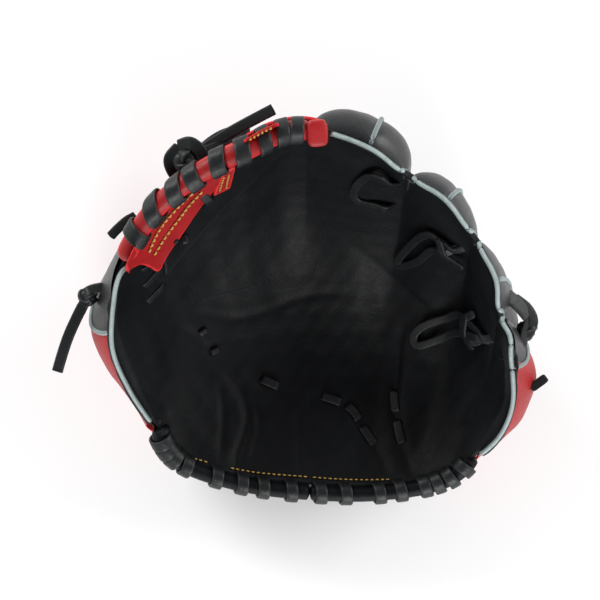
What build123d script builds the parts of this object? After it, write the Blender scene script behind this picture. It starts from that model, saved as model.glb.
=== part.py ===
"""Laced leather ball glove for the left hand, lying on its back with the pocket up.

X runs across the glove from the thumb to the little finger, Y from the heel to the fingertips,
and Z out of the pocket. The origin is under the middle of the glove, on the surface it lies on.

Every leather piece lies on one cupped surface, the sewn face of the glove. A place on it is
(s, t, w): s runs from the thumb's seam (-1) to the little finger's (1), t from the heel (0)
to the fingertips (1), and w is the height above the face in mm, negative towards the back.
"""

import os
from math import pi

import numpy as np
from build123d import *

os.makedirs("parts", exist_ok=True)

# ---- Driving dimensions, mm ----
LEATHER = 2.5  # hide of the palm and the backs
SOFT_LEATHER = 1.5  # lining hide
SEAM = 0.3  # air between two sewn layers
PAD = 5.5  # felt under the palm
STAY = 1.8  # stiffener along the outer fingers
HAND_ROOM = 38.0  # from the face to the inside of the wrist strap
TIP_THICKNESS = {"index": 26.0, "middle": 21.0, "ring": 21.0}  # of a finger stall near its tip
KNUCKLE_THICKNESS = 36.0  # of a finger stall at the knuckles
THUMB_THICKNESS = 24.0
STALL_SAG = 1.0  # how steeply the outer stalls hang behind their seams
HEEL_SAG = 1.6  # more of it at the heel, where the back wraps round the hand
TIP_SAG = 0.8  # more of it at the tips
THUMB_TOP = 0.93  # t where the thumb's front ends, under the web's top bar
POCKET_DEPTH = 100.0
PIPING_RADIUS = 1.2
BAR_RADIUS = 5.0  # rolled top bar of the web
BINDING_RADIUS = 5.0  # rolled edge of the heel
LACE_WIDTH = 6.0
LACE_THICKNESS = 1.9
PALM_TOP = 0.50  # t where the palm ends and the web begins
HEEL_START = 0.06  # t where the leather begins, above the rolled heel edge
CENTRE = Vector(2.47, -4.25, -1.14)  # of the sewn outline, moved to the origin

# ---- Outline of the sewn face: (parameter, (x, y, z)) stations ----
HEEL = [
    (-1.0, (-84, -63, 66)),
    (-0.75, (-74, -80, 60)),
    (-0.4, (-43, -93, 56)),
    (0.0, (0, -99, 55)),
    (0.4, (42, -99, 55)),
    (0.75, (74, -92, 59)),
    (1.0, (90, -80, 66)),
]
THUMB_SIDE = [
    (0.0, (-84, -63, 66)),
    (0.35, (-96, -41, 82)),
    (0.7, (-102.5, -19, 100)),
    (1.0, (-100.5, 3, 118)),
]
LITTLE_SIDE = [
    (0.0, (90, -80, 66)),
    (0.35, (101, -66, 79)),
    (0.7, (105.5, -48, 94)),
    (1.0, (103.5, -27, 108)),
]
TIPS = [
    (-1.0, (-100.5, 3, 118)),
    (-0.9, (-97, 19, 130)),
    (-0.75, (-84, 43, 139)),
    (-0.52, (-60, 65, 147)),
    (-0.28, (-34, 79, 151)),
    (-0.03, (-2, 90, 148)),
    (0.13, (29, 80, 148)),
    (0.27, (48, 67, 136)),
    (0.40, (67, 55, 139)),
    (0.53, (82, 36, 128)),
    (0.66, (93, 16, 130)),
    (0.79, (96, -3, 119)),
    (0.9, (102, -14, 117)),
    (1.0, (103.5, -27, 108)),
]

# Each finger stall between its two grooves, as s values.
FINGERS = {"index": (-0.03, 0.27), "middle": (0.27, 0.53), "ring": (0.53, 0.79)}
KNUCKLES = {"index": 0.51, "middle": 0.45, "ring": 0.45}  # t where each stall begins
GROOVE = 0.008  # half the gap between two stalls, in s
THUMB_INNER, LITTLE_INNER = -0.72, 0.815  # closed edges of the thumb's and little finger's stalls
THUMB_OPEN, LITTLE_OPEN = -0.56, 0.62  # where their backs end over the hand


# ---- The sewn face ----
def smooth_step(low, high, x):
    """0 below low, 1 above high, and a smooth ramp between."""
    share = np.clip((x - low) / (high - low), 0, 1)
    return share * share * (3 - 2 * share)


def along(stations, x):
    """Smooth curve through (parameter, point) stations, at the parameters x."""
    knots = np.array([knot for knot, _ in stations], float)
    places = np.array([place for _, place in stations], float)
    slopes = np.gradient(places, knots, axis=0)
    i = np.clip(np.searchsorted(knots, x) - 1, 0, len(knots) - 2)
    span = (knots[i + 1] - knots[i])[:, None]
    u = ((x - knots[i])[:, None]) / span
    start = (2 * u**3 - 3 * u**2 + 1) * places[i] + (u**3 - 2 * u**2 + u) * span * slopes[i]
    end = (3 * u**2 - 2 * u**3) * places[i + 1] + (u**3 - u**2) * span * slopes[i + 1]
    return start + end


def face(s, t):
    """Places on the sewn face: a sheet spanning the outline, sunk into a pocket."""
    s, t = np.broadcast_arrays(np.asarray(s, float), np.asarray(t, float))
    shape = s.shape
    s, t = s.ravel(), t.ravel()
    across = ((1 + np.sin(pi * s / 2)) / 2)[:, None]
    up = np.sin(pi * t / 2)[:, None]
    corners = [np.array(p, float) for p in (HEEL[0][1], HEEL[-1][1], TIPS[0][1], TIPS[-1][1])]
    sheet = (1 - up) * along(HEEL, s) + up * along(TIPS, s)
    sheet += (1 - across) * along(THUMB_SIDE, t) + across * along(LITTLE_SIDE, t)
    sheet -= (1 - across) * (1 - up) * corners[0] + across * (1 - up) * corners[1]
    sheet -= (1 - across) * up * corners[2] + across * up * corners[3]
    sideways = np.cos(pi * s / 2).clip(0) ** 0.8
    lengthways = np.cos(pi * t / 2).clip(0) ** 0.75 * (1 - (1 - t) ** 2.2)
    sheet[:, 2] -= POCKET_DEPTH * sideways * lengthways
    return sheet.reshape(shape + (3,)) - np.array(tuple(CENTRE))


def directions(s, t):
    """Unit vectors across the face, up the face and out of it into the pocket."""
    step = 1e-3
    s, t = np.broadcast_arrays(np.asarray(s, float), np.asarray(t, float))
    across = face(np.clip(s + step, -1, 1), t) - face(np.clip(s - step, -1, 1), t)
    up = face(s, np.clip(t + step, 0, 1)) - face(s, np.clip(t - step, 0, 1))
    out = np.cross(across, up)
    return [v / np.linalg.norm(v, axis=-1, keepdims=True) for v in (across, up, out)]


def behind(s, t):
    """Unit vectors into the stalls: away from the pocket, and hanging down towards the outer seams."""
    sag = STALL_SAG + HEEL_SAG * (1 - smooth_step(0, 0.5, t)) + TIP_SAG * smooth_step(0.7, 1, t)
    way = -directions(s, t)[2]
    way[..., 2] -= sag * smooth_step(0.2, 0.8, np.abs(s))
    return way / np.linalg.norm(way, axis=-1, keepdims=True)


def offset(s, t, w):
    """Steps from the face to the height w: along its normal in the hide, then into the stalls."""
    w = np.asarray(w, float)[..., None]
    hide = LEATHER + SEAM
    return np.maximum(w, -hide) * directions(s, t)[2] + np.maximum(-w - hide, 0) * behind(s, t)


def place(s, t, w=0.0, beyond=0.0, aside=0.0):
    """A point w above the face, moved beyond it up the face and aside across it."""
    across, up, _ = directions(s, t)
    point = face(s, t) + offset(s, t, w) + beyond * up + aside * across
    return Vector(*point)


def spline_face(s, t, w):
    """Spline surface through the places in three arrays."""
    points = face(s, t) + offset(s, t, w)
    return Face.make_surface_from_array_of_points([[Vector(*p) for p in row] for row in points])


def between(front, back):
    """Closed solid between two spline surfaces of the same outline."""
    sides = []
    for edge in front.edges():
        partner = min(back.edges(), key=lambda other: (other @ 0.5 - edge @ 0.5).length)
        sides.append(Face.make_surface_from_curves(edge, partner))
    return Solid(Shell([front, back, *sides]))


def layer(left, right, low, high, front, back, columns=11, rows=11):
    """Leather or felt from s left(t) to right(t), t low to high, and w back to front."""
    share, t = np.meshgrid(np.linspace(0, 1, columns), np.linspace(low, high, rows))
    s = left(t) + share * (right(t) - left(t))
    level = np.ones_like(s)
    return between(spline_face(s, t, front * level), spline_face(s, t, back * level))


def strip(s_range, t_range, front, back, columns=5, rows=5):
    """A layer with straight sides."""
    low, high = s_range
    return layer(lambda t: low + 0 * t, lambda t: high + 0 * t, *t_range, front, back, columns, rows)


def cord_route(points, fraction=0.45):
    """Radii for a route's corners, each as large as its two runs allow."""
    radii = []
    for before, here, after in zip(points, points[1:], points[2:]):
        turn = (here - before).get_angle(after - here)
        run = min((here - before).length, (after - here).length)
        radii.append(fraction * run / np.tan(np.radians(turn) / 2))
    return radii


# ---- Creases: the two lines the glove folds along ----
def crease_gap(t):
    """Half the room between the palm and a folding side, in s."""
    return 0.013 + 0.022 * smooth_step(0.25, 0.5, t)


def thumb_crease(t):
    return -0.37 - 0.17 * t


def finger_crease(t):
    return 0.03 + 0.25 * (1 - t / PALM_TOP).clip(0)


def palm_left(t):
    return thumb_crease(t) + crease_gap(t)


def palm_right(t):
    return finger_crease(t) - crease_gap(t)


def thumb_edge(t):
    """Inner edge of the thumb's front: the crease, then the edge along the web."""
    crease = thumb_crease(np.minimum(t, PALM_TOP)) - crease_gap(t)
    return crease + (THUMB_INNER - crease) * smooth_step(PALM_TOP, 0.72, t)


def finger_edge(t):
    return finger_crease(t) + crease_gap(np.minimum(t, PALM_TOP)) * (1 - smooth_step(0.5, 0.6, t))


def thumb_seam(t):
    return -1 + 0 * t


def little_seam(t):
    return 1 + 0 * t


# ---- Backs of the stalls ----
def finger_back(finger, around, down, inset=0.0, skin=0.0):
    """Places (s, t, w) on the domed back of a finger, drawn in by inset in s and by skin mm."""
    s_low, s_high = FINGERS[finger]
    knuckle = KNUCKLES[finger]
    q, b = np.sin(around), np.sin(down)
    half = (s_high - s_low) / 2 - GROOVE - inset
    s = (s_low + s_high) / 2 + half * q
    t = knuckle + (0.99 - knuckle - inset * 0.5) * b
    at_tip = TIP_THICKNESS[finger]
    thickness = at_tip + (KNUCKLE_THICKNESS - at_tip) * (1 - b) ** 1.5 - skin
    dome = np.cos(around) * np.sqrt(1 + q**2) * np.cos(down) * np.sqrt((1 + b**2) * (1 + b**4))
    return s, t, -LEATHER - SEAM - thickness * dome


def finger_shell(finger):
    """Leather between the inside and the outside of a finger's back."""
    around, down = np.meshgrid(np.linspace(-pi / 2, pi / 2, 15), np.linspace(0, pi / 2, 15))
    inside = spline_face(*finger_back(finger, around, down, 0.014, LEATHER))
    outside = spline_face(*finger_back(finger, around, down))
    return between(inside, outside)


def side_back(seam, inner, open_edge, t_range, inset, skin, top):
    """Back of the thumb or little finger: a closed stall above and half a wrap over the hand below."""
    around, t = np.meshgrid(np.linspace(-pi / 2, pi / 2, 15), np.linspace(*t_range, 15))
    x = (1 + np.sin(around)) / 2
    opening = 1 - smooth_step(0.27, 0.43, t)
    side = np.sign(inner - seam)
    edge = inner - side * inset + (open_edge - inner + side * inset) * opening
    s = seam + side * inset + x * (edge - seam - side * inset)
    closed = (THUMB_THICKNESS - skin) * np.cos(around) * np.sqrt(1 + np.sin(around) ** 2)
    wrap = (HAND_ROOM + LEATHER - SEAM - skin) * np.sqrt(1 - (1 - x) ** 2.5)
    tip = np.sqrt((1 - ((t - 0.8) / (top - 0.8)).clip(0, 1) ** 2).clip(0))
    depth = (closed + (wrap - closed) * opening) * tip
    return spline_face(s, t, -LEATHER - SEAM - depth)


def side_shell(seam, inner, open_edge, t_range, inner_end, top):
    """Leather between the inside and the outside of a side back that closes at t = top."""
    outside = side_back(seam, inner, open_edge, t_range, 0.004, 0, top)
    inside = side_back(seam, inner, open_edge, (t_range[0], inner_end), 0.018, LEATHER, top)
    return between(inside, outside)


def finger_liner(s_low, s_high):
    """Soft lining of a finger stall: a thin dome inside its back."""
    return between(liner_dome(s_low, s_high, SOFT_LEATHER), liner_dome(s_low, s_high, 0))


def liner_dome(s_low, s_high, skin):
    """Domed surface that a lining follows, drawn in by its skin."""
    around, down = np.meshgrid(np.linspace(-pi / 2, pi / 2, 11), np.linspace(0, pi / 2, 11))
    q, b = np.sin(around), np.sin(down)
    half = (s_high - s_low) / 2 - 0.045 - skin * 0.009
    s = (s_low + s_high) / 2 + half * q
    t = 0.47 + (0.38 - skin * 0.006) * b
    dome = np.cos(around) * np.sqrt(1 + q**2) * np.cos(down) * np.sqrt((1 + b**2) * (1 + b**4))
    return spline_face(s, t, -5 - (13 - skin) * dome)


# ---- Palm body: palm, wrist and web ----
with BuildPart() as palm_leather:
    add(layer(palm_left, palm_right, HEEL_START, PALM_TOP, 0, -LEATHER))

PAD_TOP = -LEATHER - SEAM
PAD_BOTTOM = PAD_TOP - PAD
with BuildPart() as palm_pad:
    add(layer(palm_left, palm_right, 0.08, 0.455, PAD_TOP, PAD_BOTTOM))

with BuildPart() as palm_liner:
    add(layer(palm_left, palm_right, 0.05, 0.46, PAD_BOTTOM - SEAM, PAD_BOTTOM - SEAM - SOFT_LEATHER))

STRAP = ((-0.47, 0.53), (0.03, 0.20))
with BuildPart() as wrist_strap:
    add(strip(*STRAP, -HAND_ROOM, -HAND_ROOM - LEATHER, 11, 7))

with BuildPart() as wrist_fleece:
    add(strip((-0.44, 0.50), (0.045, 0.185), -HAND_ROOM + 4.3, -HAND_ROOM + SEAM, 11, 7))

with BuildPart() as web_panel:
    add(layer(lambda t: thumb_edge(t) + 0.045, lambda t: -0.01 + 0 * t, PALM_TOP + 0.03, 0.95, 0, -LEATHER))

with BuildPart() as web_post:
    add(strip((-0.43, -0.32), (PALM_TOP - 0.03, 0.94), LEATHER + SEAM, SEAM, 5, 9))

with BuildPart() as web_post_outer:
    add(strip((-0.43, -0.32), (PALM_TOP + 0.04, 0.94), PAD_TOP, PAD_TOP - LEATHER, 5, 9))


def bar_place(s):
    """Centre of the web's rolled top bar, which drops towards the pocket at the index finger."""
    return place(s, 1.0, 0.0, beyond=4.0 - 4.0 * smooth_step(-0.4, -0.1, s))


BAR_SPAN = (-0.87, -0.045)
with BuildPart() as web_bar:
    with BuildLine() as bar_line:
        Spline([bar_place(s) for s in np.linspace(*BAR_SPAN, 9)])
    with BuildSketch(Plane(bar_line.line @ 0, z_dir=bar_line.line % 0)):
        Circle(BAR_RADIUS)
    sweep()

with BuildPart() as web_bar_flap:
    add(layer(lambda t: -0.90 + 0.5 * (t - 0.84), lambda t: -0.72 + 2.6 * (t - 0.84), 0.84, 0.965,
              LEATHER + SEAM, SEAM, 7, 7))

BAR_WRAPS = 10
with BuildPart() as web_bar_lace:
    for turn in np.linspace(0.10, 0.92, BAR_WRAPS):
        with BuildSketch(Plane(bar_line.line @ turn, z_dir=bar_line.line % turn)):
            Circle(BAR_RADIUS + SEAM + LACE_THICKNESS)
            Circle(BAR_RADIUS + SEAM, mode=Mode.SUBTRACT)
        extrude(amount=LACE_WIDTH / 2, both=True)

WEB_STITCH_T = (0.60, 0.69, 0.78, 0.87)
with BuildPart() as web_thumb_lace:
    for t in WEB_STITCH_T[:3]:
        add(strip((-0.76, -0.64), (t - 0.011, t + 0.011), SEAM + LACE_THICKNESS, SEAM, 4, 3))

with BuildPart() as web_index_lace:
    for t in WEB_STITCH_T:
        add(strip((-0.12, -0.035), (t - 0.011, t + 0.011), PAD_TOP, PAD_TOP - LACE_THICKNESS, 4, 3))


# ---- Thumb body ----
with BuildPart() as thumb_palm_leather:
    add(layer(thumb_seam, thumb_edge, HEEL_START, THUMB_TOP, 0, -LEATHER, 11, 17))

with BuildPart() as thumb_heel_pad:
    add(layer(lambda t: -0.9 + 0 * t, thumb_edge, 0.11, 0.34, PAD_TOP, PAD_BOTTOM, 11, 11))

with BuildPart() as thumb_stay:
    add(strip((-0.92, -0.80), (0.37, 0.86), PAD_TOP, PAD_TOP - STAY, 5, 9))

with BuildPart() as thumb_back_red:
    add(side_shell(-1, THUMB_INNER, THUMB_OPEN, (0.10, 0.805), 0.805, 0.96))

with BuildPart() as thumb_back_tip:
    add(side_shell(-1, THUMB_INNER, THUMB_OPEN, (0.815, 0.945), 0.935, 0.96))

with BuildPart() as thumb_liner:
    add(finger_liner(-1, THUMB_INNER))

with BuildPart() as thumb_loop:
    add(strip((-0.92, -0.80), (0.40, 0.44), -13.5, -15, 5, 3))

# ---- Fingers body ----
with BuildPart() as finger_palm_leather:
    add(layer(finger_edge, little_seam, HEEL_START, 1.0, 0, -LEATHER, 35, 17))

with BuildPart() as little_heel_pad:
    add(layer(finger_edge, lambda t: 0.9 + 0 * t, 0.11, 0.34, PAD_TOP, PAD_BOTTOM, 17, 11))

with BuildPart() as little_stay:
    add(strip((0.86, 0.96), (0.37, 0.88), PAD_TOP, PAD_TOP - STAY, 5, 9))

with BuildPart() as little_back_red:
    add(side_shell(1, LITTLE_INNER, LITTLE_OPEN, (0.10, 0.92), 0.92, 1.0))

with BuildPart() as little_back_tip:
    add(side_shell(1, LITTLE_INNER, LITTLE_OPEN, (0.93, 0.985), 0.97, 1.0))

with BuildPart() as little_liner:
    add(finger_liner(LITTLE_INNER, 1))

with BuildPart() as little_loop:
    add(strip((0.85, 0.95), (0.40, 0.44), -13.5, -15, 5, 3))

finger_backs, finger_liners = {}, {}
for finger, (s_low, s_high) in FINGERS.items():
    with BuildPart() as back:
        add(finger_shell(finger))
    with BuildPart() as liner:
        add(finger_liner(s_low, s_high))
    finger_backs[finger] = back
    finger_liners[finger] = liner


# ---- Rolled heel edge and the lace wrapped round it ----
def binding_place(s):
    return place(s, 0.0, -2.0, beyond=-3.0)


def binding(span):
    """Route of the heel's rolled edge over part of the heel."""
    return Spline([binding_place(s) for s in np.linspace(*span, 15)])


HEEL_PARTS = {
    "thumb": ((-0.93, -0.40), (-0.88, -0.76, -0.64, -0.51)),
    "center": ((-0.355, 0.26), (-0.30, -0.10, 0.10)),
    "fingers": ((0.305, 0.93), (0.37, 0.50, 0.61, 0.72, 0.83)),
}
heel_bindings, heel_laces = {}, {}
for side, (span, wraps) in HEEL_PARTS.items():
    with BuildPart() as edge:
        with BuildLine() as edge_line:
            binding(span)
        with BuildSketch(Plane(edge_line.line @ 0, z_dir=edge_line.line % 0)):
            Circle(BINDING_RADIUS)
        sweep()
    with BuildPart() as lace:
        for s in wraps:
            middle = binding_place(s)
            ahead = binding_place(s + 0.01) - binding_place(s - 0.01)
            with BuildSketch(Plane(middle, z_dir=ahead)):
                Circle(BINDING_RADIUS + SEAM + LACE_THICKNESS)
                Circle(BINDING_RADIUS + SEAM, mode=Mode.SUBTRACT)
            extrude(amount=LACE_WIDTH / 2, both=True)
    heel_bindings[side] = edge
    heel_laces[side] = lace


# ---- Piping along the seams ----
def pipe(points):
    """Round piping through places in order."""
    with BuildPart() as cord:
        with BuildLine() as line:
            Spline(points)
        with BuildSketch(Plane(line.line @ 0, z_dir=line.line % 0)):
            Circle(PIPING_RADIUS)
        sweep()
    return cord


SEAM_LEVEL = -LEATHER - SEAM / 2
PIPE_OUT = PIPING_RADIUS + 1.6
welts = {
    "thumb_welt": pipe([place(-1, t, SEAM_LEVEL, aside=-PIPE_OUT) for t in np.linspace(0.06, 0.92, 9)]),
    "little_welt": pipe([place(1, t, SEAM_LEVEL, aside=PIPE_OUT) for t in np.linspace(0.06, 0.97, 9)]),
}
for finger, (s_low, s_high) in {**FINGERS, "little": (0.79, 1.0)}.items():
    tip = np.linspace(max(s_low, 0.03) + 0.03, s_high - 0.03, 7)
    welts[finger + "_tip_welt"] = pipe([place(s, 1, SEAM_LEVEL, beyond=PIPE_OUT) for s in tip])



def over_back(finger, around, down):
    """A point that leaves room for piping over a finger's back."""
    here, ahead, beside = (
        place(*finger_back(finger, *at))
        for at in ((around, down), (around, down + 0.02), (around + 0.02, down))
    )
    normal = (ahead - here).cross(beside - here).normalized()
    s, t, _ = finger_back(finger, around, down)
    if normal.dot(here - place(s, t)) < 0:
        normal = -normal
    return here + normal * (PIPING_RADIUS + 0.5)


for finger in FINGERS:
    around_steps = np.radians(np.linspace(12, 74, 8))
    welts[finger + "_back_welt"] = pipe([over_back(finger, 0.2, d) for d in around_steps])

# ---- Laces between the fingers and up the palm's outer break ----
FINGER_LACE_T = {0.27: 0.86, 0.53: 0.84, 0.79: 0.80}
with BuildPart() as finger_lace:
    for s, t in FINGER_LACE_T.items():
        add(strip((s - 0.12, s + 0.05), (t - 0.012, t + 0.012), SEAM + LACE_THICKNESS, SEAM, 5, 3))

with BuildPart() as palm_break_lace:
    for s_top, s_foot in ((0.27, 0.33), (0.44, 0.45)):
        for low in (0.06, 0.13, 0.20):
            s = s_foot + (s_top - s_foot) * (low - 0.06) / 0.2
            add(strip((s - 0.02, s + 0.02), (low, low + 0.055), SEAM + LACE_THICKNESS, SEAM, 3, 4))


# ---- Knots and the free ends of the laces ----
def knot(middle, size):
    """Lump of a knotted lace."""
    with BuildPart() as lump:
        with Locations(middle):
            Sphere(size)
    return lump


def tail(route):
    """Free end of a lace, a plain tube along straight runs and tangent arcs."""
    radii = cord_route(route)
    print("lace end radii", [round(float(r), 1) for r in radii])
    with BuildPart() as end:
        with BuildLine() as line:
            FilletPolyline(*route, radius=radii)
        with BuildSketch(Plane(line.line @ 0, z_dir=line.line % 0)):
            Circle(LACE_WIDTH / 2)
        sweep()
    return end


KNOT = 5.5
THUMB_KNOT = Vector(-117.5, 7.6, 97.4) - CENTRE
thumb_knot = knot(THUMB_KNOT, KNOT)
thumb_lace_end = tail([
    THUMB_KNOT + Vector(*step)
    for step in ((-3, -5.4, -0.5), (-8, -15, -1.5), (-13, -27, -3), (-17, -40, -6))
])
WEB_KNOT = Vector(-63.0, 76.1, 137.9) - CENTRE
web_knot = knot(WEB_KNOT, KNOT)
web_lace_end = tail([
    WEB_KNOT + Vector(*step)
    for step in ((5, 3, 0), (17, 11, -1), (30, 18.5, -1.5), (44, 26, -3.5))
])
LITTLE_KNOT = Vector(116.2, -12.4, 95.4) - CENTRE
little_knot = knot(LITTLE_KNOT, KNOT)

# A short end of the back's lace that sticks out beside the little finger.
STUB = (10.0, 4.5, LACE_THICKNESS)
STUB_MIDDLE = Vector(122.6, -39.0, 82.8)
with BuildPart() as little_lace_stub:
    with Locations(Location(STUB_MIDDLE - CENTRE, (0, 0, 37))):
        Box(*STUB)

# ---- Write every sub-part ----
pieces = {
    "palm_leather": palm_leather,
    "palm_pad": palm_pad,
    "palm_liner": palm_liner,
    "wrist_strap": wrist_strap,
    "wrist_fleece": wrist_fleece,
    "web_panel": web_panel,
    "web_post": web_post,
    "web_post_outer": web_post_outer,
    "web_bar": web_bar,
    "web_bar_flap": web_bar_flap,
    "web_bar_lace": web_bar_lace,
    "web_thumb_lace": web_thumb_lace,
    "web_index_lace": web_index_lace,
    "web_knot": web_knot,
    "web_lace_end": web_lace_end,
    "thumb_palm_leather": thumb_palm_leather,
    "thumb_heel_pad": thumb_heel_pad,
    "thumb_stay": thumb_stay,
    "thumb_back_red": thumb_back_red,
    "thumb_back_tip": thumb_back_tip,
    "thumb_liner": thumb_liner,
    "thumb_loop": thumb_loop,
    "thumb_knot": thumb_knot,
    "thumb_lace_end": thumb_lace_end,
    "finger_palm_leather": finger_palm_leather,
    "little_heel_pad": little_heel_pad,
    "little_stay": little_stay,
    "little_back_red": little_back_red,
    "little_back_tip": little_back_tip,
    "little_liner": little_liner,
    "little_loop": little_loop,
    "little_knot": little_knot,
    "little_lace_stub": little_lace_stub,
    "finger_lace": finger_lace,
    "palm_break_lace": palm_break_lace,
    **welts,
    **{finger + "_back": back for finger, back in finger_backs.items()},
    **{finger + "_liner": liner for finger, liner in finger_liners.items()},
    **{"heel_binding_" + side: edge for side, edge in heel_bindings.items()},
    **{"heel_lace_" + side: lace for side, lace in heel_laces.items()},
}
for name, piece in pieces.items():
    piece.part.label = name
    export_step(piece.part, f"parts/{name}.step")

firm = [piece.part for name, piece in pieces.items() if not name.endswith("lace_end")]
whole = Compound(children=firm).bounding_box()
print("middle of the base", whole.center().X, whole.center().Y, whole.min.Z, "size", whole.size)
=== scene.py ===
"""Laced leather ball glove: the visual model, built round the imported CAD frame.

Shapes are worked out in millimetres on the glove's sewn face, with the same pattern as the CAD:
(s, t, w) is s across from the thumb's seam (-1) to the little finger's (1), t from the heel (0)
to the fingertips (1), and w the height above the face towards the pocket.
"""

from math import pi

import bpy
import numpy as np
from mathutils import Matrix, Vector


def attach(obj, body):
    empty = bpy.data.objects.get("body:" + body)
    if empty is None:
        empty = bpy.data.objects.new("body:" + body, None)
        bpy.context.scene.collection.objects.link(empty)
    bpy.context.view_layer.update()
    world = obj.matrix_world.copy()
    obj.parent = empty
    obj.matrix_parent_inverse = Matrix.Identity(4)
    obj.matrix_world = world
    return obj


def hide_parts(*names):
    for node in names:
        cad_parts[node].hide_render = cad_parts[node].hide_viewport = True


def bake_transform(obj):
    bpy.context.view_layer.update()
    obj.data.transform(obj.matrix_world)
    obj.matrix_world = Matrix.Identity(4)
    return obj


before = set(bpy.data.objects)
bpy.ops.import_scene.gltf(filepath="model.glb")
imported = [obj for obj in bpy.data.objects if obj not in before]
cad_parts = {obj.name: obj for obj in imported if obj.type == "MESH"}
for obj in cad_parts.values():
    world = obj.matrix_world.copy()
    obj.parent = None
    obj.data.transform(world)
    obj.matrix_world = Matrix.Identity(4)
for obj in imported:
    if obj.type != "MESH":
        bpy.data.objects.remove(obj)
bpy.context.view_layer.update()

MM = 0.001
CENTRE = np.array([2.47, -4.25, -1.14])
EYE = np.array([-5.5, 5.5, 1000.0]) - CENTRE
LEATHER = 2.5
SEAM = 0.3
HAND_ROOM = 38.0
TIP_THICKNESS = {"index": 26.0, "middle": 21.0, "ring": 21.0}
KNUCKLE_THICKNESS = 36.0
THUMB_THICKNESS = 24.0
STALL_SAG = 1.0
HEEL_SAG = 1.6
TIP_SAG = 0.8
POCKET_DEPTH = 100.0
BACK_SWELL = {"index": 7.0, "middle": 2.5, "ring": 1.0}
SIDE_SWELL = 5.5  # of the thumb's back, outwards
SIDE_TIP = 0.8  # t where the thumb's and little finger's backs start to close
LITTLE_LEAN = 0.10  # of the seam across the little finger's back
BACK_LEVEL = -LEATHER * 0.85  # the backs' edges sit inside the front hide
FRONT_RIPPLE = (0.35, 9.0)  # size and length of its waves
PIPING_RADIUS = 1.25
BAR_RADIUS = 5.2
BINDING_RADIUS = 4.6
HEEL_START = 0.015
PALM_TOP = 0.50
THUMB_TOP = 0.965
WEB_TOP = 0.985
WEB_MIDDLE = -0.31  # where the two halves of the web meet

HEEL = [
    (-1.0, (-84, -63, 66)), (-0.75, (-74, -80, 60)), (-0.4, (-43, -93, 56)), (0.0, (0, -99, 55)),
    (0.4, (42, -99, 55)), (0.75, (74, -92, 59)), (1.0, (90, -80, 66)),
]
THUMB_SIDE = [
    (0.0, (-84, -63, 66)), (0.35, (-96, -41, 82)), (0.7, (-102.5, -19, 100)),
    (1.0, (-100.5, 3, 118)),
]
LITTLE_SIDE = [
    (0.0, (90, -80, 66)), (0.35, (101, -66, 79)), (0.7, (105.5, -48, 94)),
    (1.0, (103.5, -27, 108)),
]
TIPS = [
    (-1.0, (-100.5, 3, 118)), (-0.9, (-97, 19, 130)), (-0.75, (-84, 43, 139)),
    (-0.52, (-60, 65, 147)), (-0.28, (-34, 79, 151)), (-0.03, (-2, 90, 148)),
    (0.13, (29, 80, 148)), (0.27, (48, 67, 136)), (0.40, (67, 55, 139)), (0.53, (82, 36, 128)),
    (0.66, (93, 16, 130)), (0.79, (96, -3, 119)), (0.9, (102, -14, 117)),
    (1.0, (103.5, -27, 108)),
]
FINGERS = {"index": (-0.03, 0.27), "middle": (0.27, 0.53), "ring": (0.53, 0.79)}
KNUCKLES = {"index": 0.51, "middle": 0.45, "ring": 0.45}
STALLS = {**FINGERS, "little": (0.79, 1.0), "thumb": (-1.0, -0.72)}
GROOVES = (0.27, 0.53, 0.79)
THUMB_INNER, LITTLE_INNER = -0.72, 0.80
THUMB_OPEN, LITTLE_OPEN = -0.56, 0.62


# ---- The sewn face ----
def smooth_step(low, high, x):
    """0 below low, 1 above high, and a smooth ramp between."""
    share = np.clip((x - low) / (high - low), 0, 1)
    return share * share * (3 - 2 * share)


def bell(x, middle, width):
    """A smooth hump of height 1."""
    return np.exp(-(((x - middle) / width) ** 2))


def along(stations, x):
    """Smooth curve through (parameter, point) stations, at the parameters x."""
    knots = np.array([knot for knot, _ in stations], float)
    places = np.array([np.atleast_1d(place) for _, place in stations], float)
    slopes = np.gradient(places, knots, axis=0)
    i = np.clip(np.searchsorted(knots, x) - 1, 0, len(knots) - 2)
    span = (knots[i + 1] - knots[i])[:, None]
    u = ((x - knots[i])[:, None]) / span
    start = (2 * u**3 - 3 * u**2 + 1) * places[i] + (u**3 - 2 * u**2 + u) * span * slopes[i]
    end = (3 * u**2 - 2 * u**3) * places[i + 1] + (u**3 - u**2) * span * slopes[i + 1]
    return start + end


def line(points, count):
    """count points along a smooth curve through points."""
    stations = list(enumerate(points))
    return along(stations, np.linspace(0, len(points) - 1, count))


def distance(path):
    """How far along its points a path has come."""
    return np.concatenate([[0], np.cumsum(np.linalg.norm(np.diff(path, axis=0), axis=1))])


def face(s, t):
    """Places on the sewn face: a sheet spanning the outline, sunk into a pocket."""
    s, t = np.broadcast_arrays(np.asarray(s, float), np.asarray(t, float))
    shape = s.shape
    s, t = s.ravel(), t.ravel()
    across = ((1 + np.sin(pi * s / 2)) / 2)[:, None]
    up = np.sin(pi * t / 2)[:, None]
    corners = [np.array(p, float) for p in (HEEL[0][1], HEEL[-1][1], TIPS[0][1], TIPS[-1][1])]
    sheet = (1 - up) * along(HEEL, s) + up * along(TIPS, s)
    sheet += (1 - across) * along(THUMB_SIDE, t) + across * along(LITTLE_SIDE, t)
    sheet -= (1 - across) * (1 - up) * corners[0] + across * (1 - up) * corners[1]
    sheet -= (1 - across) * up * corners[2] + across * up * corners[3]
    sideways = np.cos(pi * s / 2).clip(0) ** 0.8
    lengthways = np.cos(pi * t / 2).clip(0) ** 0.75 * (1 - (1 - t).clip(0) ** 2.2)
    sheet[:, 2] -= POCKET_DEPTH * sideways * lengthways
    return sheet.reshape(shape + (3,)) - CENTRE


def unit(vectors):
    return vectors / np.linalg.norm(vectors, axis=-1, keepdims=True).clip(1e-12)


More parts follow.
